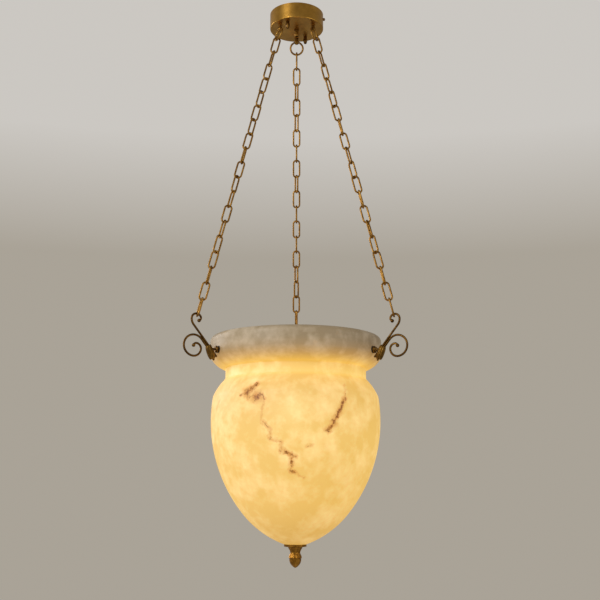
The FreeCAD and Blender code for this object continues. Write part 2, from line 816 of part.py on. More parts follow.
def stem_start(offset, back):
    """A point beside the stem's line, measured back down it from the collar's middle."""
    angle = math.radians(s.stem_angle.value)
    middle = s.lip_radius.value + s.bracket_stand.value
    x = middle - back * math.cos(angle) - offset * math.sin(angle)
    z = plan["bolt_z"] - back * math.sin(angle) + offset * math.cos(angle)
    return x, z


def hook_wire():
    """The wire that runs up to the small curl that the chain's last link hangs on."""
    x, z = stem_start(s.scroll_wire.value, s.hook_foot.value)
    path = Path(x, z, s.stem_angle.value)
    path.run(s.hook_foot.value + s.stem_to_hook.value)
    path.arc(s.hook_side_arc.value, QUARTER - s.stem_angle.value)
    path.arc(s.hook_arc.value, QUARTER)
    path.arc(s.hook_arc.value, s.hook_turn_in.value)
    path.arc(s.hook_end_arc.value, s.hook_end_turn.value)
    solid = path.wire_solid(s.scroll_wire.value)
    return solid.fuse(Part.makeSphere(s.scroll_ball.value, path.point(path.x, path.z)))


def spiral_wire():
    """The wire that leaves the stem for the large open spiral."""
    bend = math.degrees(s.spiral_foot.value / s.spiral_foot_arc.value)
    x, z = stem_start(-s.scroll_wire.value, 0.0)
    foot = Path(x, z, s.stem_angle.value + 180.0)
    foot.arc(s.spiral_foot_arc.value, bend)
    path = Path(foot.x, foot.z, s.stem_angle.value + bend)
    path.arc(s.spiral_foot_arc.value, -bend)
    path.run(s.stem_to_spiral.value)
    path.arc(s.spiral_arc.value, -s.stem_angle.value - QUARTER)
    path.arc(s.spiral_arc.value, -QUARTER)
    path.arc(s.spiral_second_arc.value, -QUARTER)
    path.arc(s.spiral_third_arc.value, -QUARTER)
    path.arc(s.spiral_end_arc.value, -s.spiral_end_turn.value)
    solid = path.wire_solid(s.scroll_wire.value)
    return solid.fuse(Part.makeSphere(s.scroll_ball.value, path.point(path.x, path.z)))


def collar_forms():
    """The binding round both wires at the foot of the stem, uncut, and the gap between them."""
    width = 4.0 * s.scroll_wire.value + 2.0 * s.collar_wall.value
    thick = 2.0 * s.scroll_wire.value + 2.0 * s.collar_wall.value
    length = s.collar_length.value
    corner = FreeCAD.Vector(-length / 2, -thick / 2, -width / 2)
    block = Part.makeBox(length, thick, width, corner)
    block = block.makeFillet(s.collar_round.value, block.Edges)
    wire = s.scroll_wire.value
    gap = Part.makeBox(length, wire, 2.0 * wire, FreeCAD.Vector(-length / 2, -wire / 2, -wire))
    x, z = stem_start(0.0, 0.0)
    tilt = FreeCAD.Rotation(FreeCAD.Vector(0, 1, 0), -s.stem_angle.value)
    for form in (block, gap):
        form.Placement = FreeCAD.Placement(FreeCAD.Vector(x, 0, z), tilt)
    return block, gap


def largest(shape):
    return sorted(shape.Solids, key=lambda solid: solid.Volume)[-1]


def bracket_bolt(block, wires, inner_end):
    """Bolt from inside the bowl to the near face of the collar that it is brazed to."""
    out = s.lip_radius.value + s.bracket_stand.value - inner_end
    axis_start = FreeCAD.Vector(inner_end, 0, plan["bolt_z"])
    bolt = Part.makeCylinder(s.bolt_radius.value, out, axis_start, FreeCAD.Vector(1, 0, 0))
    for other in [block] + wires:
        bolt = largest(bolt.cut(other))
    return bolt


def boss_form():
    """Turned rosette between the stone and the bracket, standing on z = 0."""
    bore = s.bolt_radius + s.thread_clearance
    return turned("boss_form", [
        (bore, s.pad_thick), (s.boss_face, s.pad_thick), (s.boss_radius, s.pad_thick + s.boss_bevel),
        (s.boss_radius, s.boss_bevel * 2), (s.boss_neck, s.boss_taper),
        (s.boss_neck, s.boss_length), (bore, s.boss_length)])


def brackets():
    """Both wires, their collar, the boss and its pad, at each of the three bolt holes.

    A pad's form starts within the lip, which then cuts it to its own curve.
    """
    hook, spiral = hook_wire(), spiral_wire()
    block, gap = collar_forms()
    collar = largest(block.cut(gap).cut(hook).cut(spiral))
    boss = boss_form()
    lip_foot = FreeCAD.Vector(0, 0, RIM_Z - s.neck_top.value)
    lip = Part.makeCylinder(s.lip_radius.value, s.neck_top.value, lip_foot)
    sink = s.lip_wall.value / 4.0
    pad = Part.makeCylinder(s.boss_radius.value, s.pad_thick.value + sink)
    pad = pad.cut(Part.makeCylinder(s.bolt_radius.value + s.bolt_clearance.value, s.lip_wall.value))
    bore = s.bolt_radius + s.thread_clearance
    washer = tube("lip_washer_form", s.lip_washer_radius, bore, s.lip_washer_thick)
    nut = hex_nut("lip_nut_form", s.lip_nut_across, bore, s.lip_nut_height)
    inner = s.lip_radius.value - s.lip_wall.value
    seat = math.sqrt(inner ** 2 - s.lip_washer_radius.value ** 2)
    washer_foot = seat - s.lip_washer_thick.value
    nut_foot = washer_foot - s.lip_nut_height.value
    bolt = bracket_bolt(block, [hook, spiral], nut_foot - s.bolt_radius.value)
    bolts, pads = [], []
    for name, angle in SIDES:
        turn = upright(0.0, angle, 0.0)
        for label, solid in zip(("hook_scroll", "spiral_scroll", "scroll_collar"), (hook, spiral, collar)):
            shaped(f"{label}_{name}", turned_to(solid, turn))
        standing = radial(s.lip_radius.value, angle, plan["bolt_z"])
        shaped(f"lip_boss_{name}", turned_to(boss.Shape, standing))
        cushion = turned_to(pad, radial(s.lip_radius.value - sink, angle, plan["bolt_z"]))
        pads.append(cushion.cut(lip))
        bolts.append(turned_to(bolt, turn))
    shaped("bracket_bolts", Part.Compound(bolts))
    shaped("lip_pads", Part.Compound(pads))
    group("lip_washers", washer, [radial(washer_foot, angle, plan["bolt_z"]) for _, angle in SIDES])
    group("lip_nuts", nut, [radial(nut_foot, angle, plan["bolt_z"]) for _, angle in SIDES])


# ---------------------------------------------------------------- lamp cluster
def rod_and_plate():
    """Threaded rod up through the bowl's base, with the plate and gasket that spread its load."""
    floor = BASE_Z + s.base_wall.value
    bottom = BASE_Z - s.flange_thick.value - s.rod_bottom.value
    spare = s.rod_nut_height.value + s.rod_radius.value
    top = SPIDER_Z + s.spider_thick.value + s.rod_nut_height.value + spare
    rod = doc.addObject("Part::Cylinder", "rod")
    bind(rod, Radius=s.rod_radius)
    rod.Height = top - bottom
    doc.recompute()
    place(rod, FreeCAD.Vector(0, 0, bottom))
    keep(rod, "threaded_rod")
    bore = s.rod_radius + s.thread_clearance
    gasket = tube("gasket", s.plate_radius, bore, s.gasket_thick)
    keep(place(gasket, FreeCAD.Vector(0, 0, floor)), "base_gasket")
    plate = tube("plate", s.plate_radius, bore, s.plate_thick)
    keep(place(plate, FreeCAD.Vector(0, 0, floor + s.gasket_thick.value)), "base_plate")
    nut = hex_nut("rod_nut_form", s.rod_nut_across, bore, s.rod_nut_height)
    heights = [
        floor + s.gasket_thick.value + s.plate_thick.value,
        SPIDER_Z - s.rod_nut_height.value,
        SPIDER_Z + s.spider_thick.value]
    group("rod_nuts", nut, [upright(0.0, 0.0, z) for z in heights])


def cluster_spider():
    """Flat steel spider: a round hub with three arms, each carrying a lampholder."""
    body = doc.addObject("PartDesign::Body", "spider")
    sketch = new_sketch(body, "XY_Plane", "hub_outline")
    circle(sketch, as_size(0), as_size(0), s.spider_hub, "hub")
    hub = body.newObject("PartDesign::Pad", "hub")
    hub.Profile = sketch
    bind(hub, Length=s.spider_thick)
    body.Tip = hub
    doc.recompute()
    arm_sketch = new_sketch(body, "XY_Plane", "arm_outline")
    side, reach = s.spider_width / 2, s.lamp_circle + s.spider_width / 2
    outline(arm_sketch, [(side, 0), (side, reach), (-side, reach), (-side, 0)])
    arm = body.newObject("PartDesign::Pad", "arm")
    arm.Profile = arm_sketch
    bind(arm, Length=s.spider_thick)
    body.Tip = arm
    doc.recompute()
    around(body, arm, 3, "arms")
    drill(body, "XY_Plane", [(0, 0, s.rod_radius + s.thread_clearance)], s.spider_thick, "rod_hole", True)
    place(body, FreeCAD.Vector(0, 0, SPIDER_Z))
    keep(body, "cluster_spider")


def lamps():
    """Lampholders with open sockets, and the bulbs screwed into them: metal cap and glass."""
    socket_floor = s.holder_height - s.holder_depth
    foot = SPIDER_Z + s.spider_thick.value
    for name, angle in SIDES:
        spot = polar(s.lamp_circle.value, angle, foot)
        holder = turned(f"holder_{name}", [
            (0, 0), (s.holder_foot, 0), (s.holder_radius, s.holder_flare),
            (s.holder_radius, s.holder_height), (s.holder_bore, s.holder_height),
            (s.holder_bore, socket_floor), (0, socket_floor)])
        keep(place(holder, spot), f"lampholder_{name}")
        cap_top = s.holder_height + s.seat_clearance * 3
        cap_foot = cap_top - s.cap_length
        cap = turned(f"cap_{name}", [
            (0, cap_foot), (s.cap_contact, cap_foot), (s.cap_radius, cap_foot + s.cap_taper),
            (s.cap_radius, cap_top), (0, cap_top)])
        keep(place(cap, spot), f"bulb_cap_{name}")
        centre = cap_top + s.bulb_rise
        glass = turned(f"glass_{name}", [
            (0, cap_top), (s.bulb_neck, cap_top), (s.bulb_neck, cap_top + s.bulb_neck_rise),
            (s.bulb_radius, centre, s.bulb_neck_arc, 1),
            (0, centre + s.bulb_radius, s.bulb_radius, -1)])
        keep(place(glass, spot), f"bulb_glass_{name}")


def finial():
    """Flange against the stone and the turned acorn that screws on below it."""
    bore = s.rod_radius + s.thread_clearance
    flange = turned("flange", [
        (bore, 0), (bore, -s.flange_thick), (s.finial_top, -s.flange_thick),
        (s.flange_radius, -s.flange_face), (s.flange_radius, 0)])
    keep(place(flange, FreeCAD.Vector(0, 0, BASE_Z)), "finial_flange")
    depth = s.rod_bottom + s.thread_spare
    cup, cup_z = s.finial_cup, s.finial_cup_drop
    acorn = turned("acorn", [
        (bore, 0), (bore, -depth), (0, -depth), (0, -s.finial_length),
        (s.acorn_tip, -(s.finial_length - s.acorn_tip_rise)),
        (s.acorn_radius, -s.acorn_shoulder, s.acorn_arc, 1),
        (s.acorn_radius, -s.acorn_top), (cup, -(cup_z + s.finial_cup_edge)), (cup, -cup_z),
        (s.finial_waist, -s.finial_waist_drop, s.finial_cup_arc, -1),
        (s.finial_top, 0, s.finial_neck_arc, -1)])
    keep(place(acorn, FreeCAD.Vector(0, 0, BASE_Z - s.flange_thick.value)), "finial_acorn")


# ---------------------------------------------------------------- assembly
def check_document():
    doc.recompute()
    for item in doc.Objects:
        if "Invalid" in item.State or "Error" in item.State:
            raise RuntimeError(f"{item.Label} failed: {item.State}")
    for item in nodes:
        if item.Shape.isNull() or not item.Shape.isValid():
            raise RuntimeError(f"{item.Label} has no sound shape")


def write_nodes():
    os.makedirs("parts", exist_ok=True)
    for item in nodes:
        item.Shape.exportStep(f"parts/{item.Label}.step")


ceiling_crossbar()
crossbar_fasteners()
canopy_shell()
cap_nuts()
side_screw()
cord_gland()
terminal_block()
eye_studs()
eye_fasteners()
rings()
chains()
alabaster_bowl()
brackets()
rod_and_plate()
cluster_spider()
lamps()
finial()
check_document()
write_nodes()
print(f"{len(nodes)} nodes written")
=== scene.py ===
import math

import bpy
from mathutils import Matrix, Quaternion, Vector


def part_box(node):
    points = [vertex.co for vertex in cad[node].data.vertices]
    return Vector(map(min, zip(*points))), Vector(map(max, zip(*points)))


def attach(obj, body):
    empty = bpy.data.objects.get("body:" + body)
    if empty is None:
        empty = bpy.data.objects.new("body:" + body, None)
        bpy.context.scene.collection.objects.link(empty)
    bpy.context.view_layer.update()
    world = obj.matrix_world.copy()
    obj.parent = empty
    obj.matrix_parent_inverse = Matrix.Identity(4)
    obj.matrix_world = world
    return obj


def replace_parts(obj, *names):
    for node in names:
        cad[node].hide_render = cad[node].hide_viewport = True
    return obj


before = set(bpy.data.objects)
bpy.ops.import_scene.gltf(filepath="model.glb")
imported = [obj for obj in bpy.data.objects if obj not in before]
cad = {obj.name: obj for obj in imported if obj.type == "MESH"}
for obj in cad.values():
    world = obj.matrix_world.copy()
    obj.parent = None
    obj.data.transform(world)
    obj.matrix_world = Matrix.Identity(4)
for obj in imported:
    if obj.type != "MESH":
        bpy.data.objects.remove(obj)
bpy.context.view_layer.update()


# ---- Crossbar, studs and nuts -------------------------------------------------------------
# A strap of zinc-plated steel on the ceiling box, with two long studs that carry the canopy,
# their locknuts, and a green earth screw. Pressed and cut from strip, hidden by the drum.
class Value:
    """A number on a shader socket, so that shader maths reads as Python."""

    def __init__(self, finish, socket):
        self.finish, self.socket = finish, socket

    def maths(self, operation, *others, clamp=False):
        settings = {"operation": operation, "use_clamp": clamp}
        return self.finish.node("ShaderNodeMath", settings, (self, *others))

    def __add__(self, other):
        return self.maths("ADD", other)

    def __sub__(self, other):
        return self.maths("SUBTRACT", other)

    def __mul__(self, other):
        return self.maths("MULTIPLY", other)

    def __truediv__(self, other):
        return self.maths("DIVIDE", other)

    def __rsub__(self, other):
        return (self * -1.0) + other

    __radd__ = __add__
    __rmul__ = __mul__

    def clamped(self):
        return self.maths("ADD", 0.0, clamp=True)

    def between(self, low, high):
        """Runs from low to high while this value runs from 0 to 1."""
        return self * (high - low) + low

    def larger(self, other):
        return self.maths("MAXIMUM", other)

    def power(self, exponent):
        return self.maths("POWER", exponent)


class Finish:
    """A procedural material: its shader, and the nodes that paint it from Object coordinates."""

    def __init__(self, name):
        self.material = bpy.data.materials.new(name)
        self.material.use_nodes = True
        self.tree = self.material.node_tree
        self.shader = self.tree.nodes["Principled BSDF"]
        self.place = self.node("ShaderNodeTexCoord", {}, (), "Object")

    def node(self, kind, settings, inputs, output=0):
        """Adds a node, gives it its settings, then values or links; returns one output."""
        made = self.tree.nodes.new(kind)
        stops = settings.pop("stops", None)
        for name, setting in settings.items():
            setattr(made, name, setting)
        if stops:
            ramp = made.color_ramp.elements
            while len(ramp) < len(stops):
                ramp.new(0.5)
            for element, (spot, colour) in zip(ramp, stops):
                element.position = spot
                element.color = (*colour, 1.0)
        pairs = inputs.items() if isinstance(inputs, dict) else enumerate(inputs)
        for key, value in pairs:
            if isinstance(value, Value):
                self.tree.links.new(value.socket, made.inputs[key])
            elif value is not None:
                made.inputs[key].default_value = value
        return Value(self, made.outputs[output])

    def noise(self, scale, detail=4.0, rough=0.6, stretch=None):
        spot = self.place
        if stretch:
            spot = self.node("ShaderNodeMapping", {}, {"Vector": spot, "Scale": stretch})
        inputs = {"Vector": spot, "Scale": scale, "Detail": detail, "Roughness": rough}
        return self.node("ShaderNodeTexNoise", {}, inputs)

    def ramp(self, value, stops):
        return self.node("ShaderNodeValToRGB", {"stops": stops}, (value,))

    def cloudy(self, scale, dark, light, low=0.3, high=0.7):
        """A soft cloud, and a colour that goes from dark to light with it."""
        cloud = self.noise(scale)
        return cloud, self.ramp(cloud, [(low, dark), (high, light)])

    def mix(self, share, first, second):
        inputs = {0: share, 6: self.colour(first), 7: self.colour(second)}
        return self.node("ShaderNodeMix", {"data_type": "RGBA"}, inputs, 2)

    def colour(self, value):
        return (*value, 1.0) if isinstance(value, tuple) else value

    def bump(self, height, depth):
        inputs = {"Strength": 1.0, "Distance": depth, "Height": height}
        return self.node("ShaderNodeBump", {}, inputs)

    def set(self, **sockets):
        for name, value in sockets.items():
            socket = self.shader.inputs[name.replace("_", " ")]
            if isinstance(value, Value):
                self.tree.links.new(value.socket, socket)
            else:
                socket.default_value = self.colour(value)
        return self.material


def dress(material, *names):
    """Gives CAD nodes a material."""
    for name in names:
        node = cad[name]
        if not node.material_slots:
            node.data.materials.append(material)
        for slot in node.material_slots:
            slot.material = material


def zinc_finish():
    finish = Finish("zinc_plated_steel")
    cloud, colour = finish.cloudy(scale=220.0, dark=(0.42, 0.42, 0.40), light=(0.66, 0.66, 0.64))
    return finish.set(Base_Color=colour, Roughness=cloud.between(0.25, 0.50), Metallic=1.0,
                      Normal=finish.bump(finish.noise(scale=900.0), depth=0.0001))


def lacquer_finish():
    finish = Finish("green_earth_lacquer")
    cloud, colour = finish.cloudy(
        scale=500.0, dark=(0.03, 0.22, 0.07), light=(0.06, 0.34, 0.12), low=0.35)
    return finish.set(Base_Color=colour, Roughness=cloud.between(0.3, 0.5))


zinc = zinc_finish()
dress(zinc, "ceiling_crossbar", "canopy_studs", "crossbar_locknuts", "earth_washer")
dress(lacquer_finish(), "earth_screw")


# ---- Canopy drum --------------------------------------------------------------------------
# The drum that hides the ceiling box: spun sheet brass, turned bright along its wall and
# lacquered while satin. Its open rim lies on the ceiling and two cap nuts draw it up.
DRUM_PATINA = [
    (0.25, (0.42, 0.215, 0.036)), (0.5, (0.60, 0.325, 0.060)), (0.78, (0.72, 0.42, 0.090))]
GROOVE_BROWN, GROOVE_SHADE = (0.27, 0.14, 0.026), 0.35
LATHE_STRETCH = (0.4, 0.4, 40.0)


def drum_finish():
    finish = Finish("satin_aged_brass")
    grain = finish.noise(scale=60.0, detail=6.0, rough=0.7, stretch=LATHE_STRETCH)
    patina = finish.noise(scale=26.0, detail=5.0, rough=0.65)
    grooves = (grain * GROOVE_SHADE).clamped()
    colour = finish.mix(grooves, finish.ramp(patina, DRUM_PATINA), GROOVE_BROWN)
    rough = 0.22 + grain * 0.14 + patina * 0.08
    return finish.set(Base_Color=colour, Roughness=rough, Metallic=1.0,
                      Normal=finish.bump(grain, depth=0.00006))


dress(drum_finish(), "canopy_shell")


# ---- Cap nuts, side screw and gland -------------------------------------------------------
# The two long nuts are turned brass with a dark brown patina and undo by hand, as does the
# thumb screw. The gland in the middle is the outlet for wiring, held by a nut inside.
BRONZE_PATINA = [
    (0.3, (0.045, 0.021, 0.005)), (0.55, (0.14, 0.07, 0.015)), (0.8, (0.34, 0.19, 0.045))]


def bronze_finish():
    finish = Finish("dark_bronze_patina")
    cloud = finish.noise(scale=340.0, detail=5.0)
    return finish.set(Base_Color=finish.ramp(cloud, BRONZE_PATINA), Metallic=1.0,
                      Roughness=cloud.between(0.30, 0.50),
                      Normal=finish.bump(cloud, depth=0.00008))


dress(bronze_finish(), "cap_nut_far", "cap_nut_near")

FINE_SCALE = 7.0


def aged_finish(name, dark, middle, light, scale):
    """Brass that is dark where its patina stays and light where it is rubbed off."""
    finish = Finish(name)
    cloud = finish.noise(scale, detail=5.0, rough=0.65)
    fine = finish.noise(scale * FINE_SCALE, detail=3.0)
    tone = cloud * 0.9 + fine * 0.1
    colour = finish.ramp(tone, [(0.22, dark), (0.5, middle), (0.78, light)])
    return finish.set(Base_Color=colour, Roughness=fine.between(0.40, 0.54), Metallic=1.0,
                      Normal=finish.bump(cloud, depth=0.00001))


chain_brass = aged_finish(
    "aged_chain_brass", (0.11, 0.052, 0.010), (0.31, 0.160, 0.030), (0.52, 0.305, 0.075), 60.0)
dress(chain_brass, "canopy_side_screw", "cord_gland")
dress(zinc, "cord_gland_nut")


# ---- Terminal block -----------------------------------------------------------------------
# Three-way block of moulded nylon inside the drum, with plain brass clamp screws in wells.
# It joins the ceiling's wires to those of the lamps and is out of sight once the drum is up.
def nylon_finish():
    finish = Finish("white_nylon")
    cloud, colour = finish.cloudy(scale=260.0, dark=(0.66, 0.65, 0.60), light=(0.76, 0.75, 0.71))
    return finish.set(Base_Color=colour, Roughness=cloud.between(0.40, 0.55),
                      Normal=finish.bump(cloud, depth=0.0001))


dress(nylon_finish(), "terminal_block")
clamp_brass = aged_finish(
    "plain_clamp_brass", (0.48, 0.33, 0.14), (0.62, 0.45, 0.20), (0.72, 0.55, 0.28), 200.0)
dress(clamp_brass, "terminal_screws")


# ---- Eye studs, rings and chains ----------------------------------------------------------
# Three turned eye studs hang from the drum's face, held inside by plated nuts and washers.
# A brazed ring swings in each, and in it a chain of nineteen welded links of aged brass.
SIDES = ("back", "left", "right")
for side in SIDES:
    dress(chain_brass, f"eye_stud_{side}", f"chain_ring_{side}", f"chain_{side}")
dress(zinc, "eye_stud_washers", "eye_stud_nuts")


# ---- Alabaster bowl -----------------------------------------------------------------------
# One piece of veined alabaster, turned on a lathe to a ten millimetre wall and honed. The
# thick lip stays nearly unlit and the lamps glow through the neck and the egg-shaped belly:
# both are painted light, an emission colour on the stone's surface.
SAME_PLACE = 0.00002


def clear_selection():
    bpy.ops.object.select_all(action="DESELECT")


def settle(name, material, body, angle=35.0):
    """Names the piece just made, puts its place into its mesh and gives it body and slot."""
    piece = bpy.context.object
    bpy.ops.object.transform_apply(location=True, rotation=True, scale=True)
    bpy.ops.object.shade_smooth_by_angle(angle=math.radians(angle))
    piece.name = name
    piece.data.name = name
    piece.data.materials.clear()
    piece.data.materials.append(material)
    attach(piece, body)
    return piece


def turn_form(profile, sides):
    """Extrudes a circle through (radius, height) steps, as on a lathe. Radius 0 closes it."""
    clear_selection()
    last_r, last_z = profile[0]
    bpy.ops.mesh.primitive_circle_add(
        vertices=sides, radius=last_r, location=(0.0, 0.0, last_z))
    bpy.ops.object.mode_set(mode="EDIT")
    bpy.ops.mesh.select_all(action="SELECT")
    for radius, height in profile[1:]:
        rise = {"value": (0.0, 0.0, height - last_z)}
        bpy.ops.mesh.extrude_region_move(TRANSFORM_OT_translate=rise)
        if radius == 0.0:
            bpy.ops.mesh.merge(type="CENTER")
            break
        share = radius / last_r
        bpy.ops.transform.resize(value=(share, share, 1.0), center_override=(0.0, 0.0, height))
        last_r, last_z = radius, height
    bpy.ops.mesh.select_all(action="SELECT")
    bpy.ops.mesh.remove_doubles(threshold=SAME_PLACE)
    bpy.ops.mesh.select_all(action="SELECT")
    bpy.ops.mesh.normals_make_consistent(inside=False)
    bpy.ops.object.mode_set(mode="OBJECT")
    return bpy.context.object


def bow(start, end, radius, side, steps):
    """Points on an arc from start to end; side is +1 where it bulges left of the way."""
    start, end = Vector(start), Vector(end)
    chord = end - start
    half = chord.length / 2.0
    left = Vector((-chord.y, chord.x)).normalized() * side
    centre = (start + end) / 2.0 - left * math.sqrt(radius ** 2 - half ** 2)
    first, last = start - centre, end - centre
    sweep = first.angle_signed(last) * -1.0
    points = []
    for step in range(1, steps + 1):
        turn = sweep * step / steps
        cosine, sine = math.cos(turn), math.sin(turn)
        points.append((
            centre.x + first.x * cosine - first.y * sine,
            centre.y + first.x * sine + first.y * cosine))
    return points


LIP_R, NECK_R, SHOULDER_R, LOW_R, BASE_R = 0.1905, 0.1565, 0.1825, 0.1145, 0.0245
LIP_DROP, NECK_TOP, NECK_FOOT, SHOULDER_DROP = 0.0445, 0.072, 0.095, 0.1335
LOW_DROP, BOWL_DROP, WALL = 0.3844, 0.4485, 0.010
LIP_WALL, LIP_INSIDE, LIP_ROUND, INNER_ROUND = 0.018, 0.052, 0.012, 0.004
LIP_STEPS, INNER_STEP = (0.030, 0.016), 0.028
LOW_TURN = math.radians(39.1)
BASE_ARC, BELLY_ARC, SHOULDER_ARC, LIP_ARC = 0.208, 0.320, 0.120, 0.050
FLOOR_ARC, INNER_BELLY_ARC, INNER_SHOULDER_ARC = 0.198, 0.310, 0.110
NECK_HOLLOW, NECK_EDGE = 0.0006, 0.004
ROD_HOLE, FLOOR_R, FLOOR_WALL = 0.0068, 0.032, 0.012
RIM_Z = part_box("alabaster_bowl")[1].z


def belly_profile():
    """(radius, height from the rim) up the outer face, from the rod's hole to the neck."""
    waist = NECK_R - NECK_HOLLOW
    points = [(ROD_HOLE, -BOWL_DROP), (BASE_R, -BOWL_DROP)]
    points += bow(points[-1], (LOW_R, -LOW_DROP), BASE_ARC, -1, 14)
    points += bow(points[-1], (SHOULDER_R, -SHOULDER_DROP), BELLY_ARC, -1, 34)
    points += bow(points[-1], (NECK_R, -NECK_FOOT), SHOULDER_ARC, -1, 12)
    points += [(waist, -NECK_FOOT + NECK_EDGE), (waist, -NECK_TOP - NECK_EDGE)]
    return points + [(NECK_R, -NECK_TOP)]


def lip_profile():
    """From the neck round the lip, over its top and down its inner face."""
    inside = LIP_R - LIP_WALL
    points = bow((NECK_R, -NECK_TOP), (LIP_R, -LIP_DROP), LIP_ARC, -1, 12)
    points += [(LIP_R, -step) for step in (*LIP_STEPS, LIP_ROUND)]
    points += bow(points[-1], (LIP_R - LIP_ROUND, 0.0), LIP_ROUND, -1, 6)
    points += [(inside + INNER_ROUND, 0.0)]
    points += bow(points[-1], (inside, -INNER_ROUND), INNER_ROUND, -1, 5)
    return points + [(inside, -INNER_STEP), (inside, -LIP_INSIDE)]


def inner_profile():
    """Down the inner face from the neck to the floor, and through the rod's hole."""
    low = (LOW_R - WALL * math.cos(LOW_TURN), -LOW_DROP + WALL * math.sin(LOW_TURN))
    floor_height = -BOWL_DROP + FLOOR_WALL
    points = [(NECK_R - WALL, -NECK_TOP), (NECK_R - WALL, -NECK_FOOT)]
    points += bow(points[-1], (SHOULDER_R - WALL, -SHOULDER_DROP), INNER_SHOULDER_ARC, 1, 8)
    points += bow(points[-1], low, INNER_BELLY_ARC, 1, 20)
    points += bow(points[-1], (FLOOR_R, floor_height), FLOOR_ARC, 1, 8)
    return points + [(ROD_HOLE, floor_height), (ROD_HOLE, -BOWL_DROP)]


def bowl_profile():
    profile = belly_profile() + lip_profile() + inner_profile()
    return [(radius, RIM_Z + height) for radius, height in profile]


VEINS = {
    # width and depth of colour, then its course: degrees to the right of the near side, and
    # millimetres below the rim
    "left_fork": (2.6, 1.0, [(-26.3, 120), (-33.2, 137)]),
    "left_blot": (3.8, 0.9, [(-29.5, 130), (-33.6, 138)]),
    "left_tip": (1.5, 0.8, [(-33.2, 137), (-38.0, 142)]),
    "left_twig": (2.0, 0.8, [(-33.2, 137), (-30.6, 149)]),
    "left_spot": (4.4, 1.0, [(-26.0, 148), (-24.4, 146)]),
    "left_curl": (1.7, 0.8, [(-25.0, 146), (-21.3, 143), (-19.9, 151)]),
    "left_thread": (1.1, 0.5, [(-19.9, 151), (-21.7, 173), (-21.7, 199)]),
    "left_chain": (
        1.7, 0.62, [(-20.5, 199), (-15.4, 217), (-16.4, 232), (-8.7, 239), (-9.2, 262)]),
    "middle": (2.1, 0.85, [(-6.8, 258), (-0.6, 267), (-2.3, 272), (-3.1, 296), (-0.6, 299)]),
    "middle_tail": (1.2, 0.45, [(-0.6, 299), (6.3, 308)]),
    "right_top": (1.4, 0.55, [(35.0, 121), (33.1, 150)]),
    "right": (2.4, 0.95, [(33.1, 150), (31.2, 161), (29.3, 175), (26.2, 189), (24.6, 204)]),
    "right_foot": (3.0, 1.0, [(24.6, 204), (20.8, 215)]),
    "right_dash": (1.6, 0.6, [(7.9, 246), (11.3, 247)]),
    "far_left": (1.4, 0.3, [(-60.3, 149), (-64.9, 165)]),
    "back_left": (2.2, 0.8, [(148, 130), (155, 160), (150, 190), (158, 214)]),
    "back_right": (2.0, 0.7, [(-130, 150), (-124, 176), (-128, 205), (-118, 240), (-122, 262)]),
    "side_right": (2.0, 0.7, [(96, 205), (102, 228), (99, 250), (108, 268)]),
}


VEIN_REACH = 0.0038
WANDER, WANDER_REACH = {"Scale": 85.0, "Detail": 5.0, "Roughness": 0.65}, 0.017
MIDDLE_GREY = (0.5, 0.5, 0.5)
MILLIMETRE, NEAR_SIDE = 0.001, -90.0


def outer_radius(drop):
    """The bowl's outer radius at a depth below its rim, for the belly and the neck."""
    return min(belly_profile(), key=lambda point: abs(point[1] + drop))[0]


def vein_point(turn, depth):
    drop = depth * MILLIMETRE
    angle = math.radians(turn + NEAR_SIDE)
    radius = outer_radius(drop)
    return Vector((radius * math.cos(angle), radius * math.sin(angle), RIM_Z - drop))


def vein_mask(finish):
    """1 on a vein's line and 0 away from it, with a wandering edge."""
    def vector(operation, inputs, output=0):
        return finish.node("ShaderNodeVectorMath", {"operation": operation}, inputs, output)

    wander = finish.node("ShaderNodeTexNoise", {}, {"Vector": finish.place, **WANDER}, 1)
    shift = vector("SCALE", {0: vector("SUBTRACT", (wander, MIDDLE_GREY)), 3: WANDER_REACH})
    place = vector("ADD", (finish.place, shift))
    total = None
    for width, depth, line in VEINS.values():
        points = [vein_point(*spot) for spot in line]
        for start, end in zip(points, points[1:]):
            way = end - start
            along = vector("SUBTRACT", (place, start))
            share = vector("DOT_PRODUCT", (along, way / way.length_squared), 1).clamped()
            away = vector("DISTANCE", (along, vector("SCALE", {0: way, 3: share})), 1)
            stroke = (1.0 - away * (1.0 / VEIN_REACH / width)).clamped() * depth
            total = stroke if total is None else total.larger(stroke)
    return total


# share of the bowl's depth, from rim to base, and the light that comes through there,
# painted on as emission
GLOW = [
    (0.00, (0.010, 0.005, 0.001)), (0.055, (0.030, 0.014, 0.001)),
    (0.090, (0.10, 0.045, 0.003)), (0.125, (0.30, 0.140, 0.008)),
    (0.160, (0.60, 0.330, 0.028)), (0.205, (0.72, 0.450, 0.065)),
    (0.225, (0.62, 0.340, 0.032)), (0.30, (0.61, 0.345, 0.035)),
    (0.50, (0.66, 0.390, 0.048)), (0.80, (0.64, 0.365, 0.040)), (1.0, (0.52, 0.275, 0.025))]
# the same painted glow where the stone is milkier, by the same share of depth
MILKY_GLOW = [
    (0.00, (0.03, 0.02, 0.01)), (0.10, (0.14, 0.07, 0.01)), (0.16, (0.72, 0.46, 0.09)),
    (0.50, (0.84, 0.60, 0.19)), (1.0, (0.66, 0.41, 0.08))]
# painted light on top of that glow: spots before the three lamps, brighter patches, and the
# colours of the light under the veins' halos and stains
LAMP_TURNS, LAMP_R, LAMP_DROP, LAMP_SPREAD = (-90.0, 30.0, 150.0), 0.19, 0.178, 14.0
LAMP_GLOW, PATCH_GLOW = (0.92, 0.72, 0.28), (0.60, 0.27, 0.035)
HALO_GLOW, STAIN_GLOW = (0.42, 0.135, 0.005), (0.205, 0.058, 0.0)
MILK_SHARE, LAMP_SHARE, PATCH_SHARE, HALO_SHARE, HALO_DARKENS = 0.42, 0.5, 0.22, 0.85, 0.8
GREY_STONE, MILKY_STONE = (0.38, 0.30, 0.19), (0.62, 0.53, 0.40)
HALO_STONE, STAIN_STONE = (0.30, 0.13, 0.03), (0.035, 0.008, 0.001)


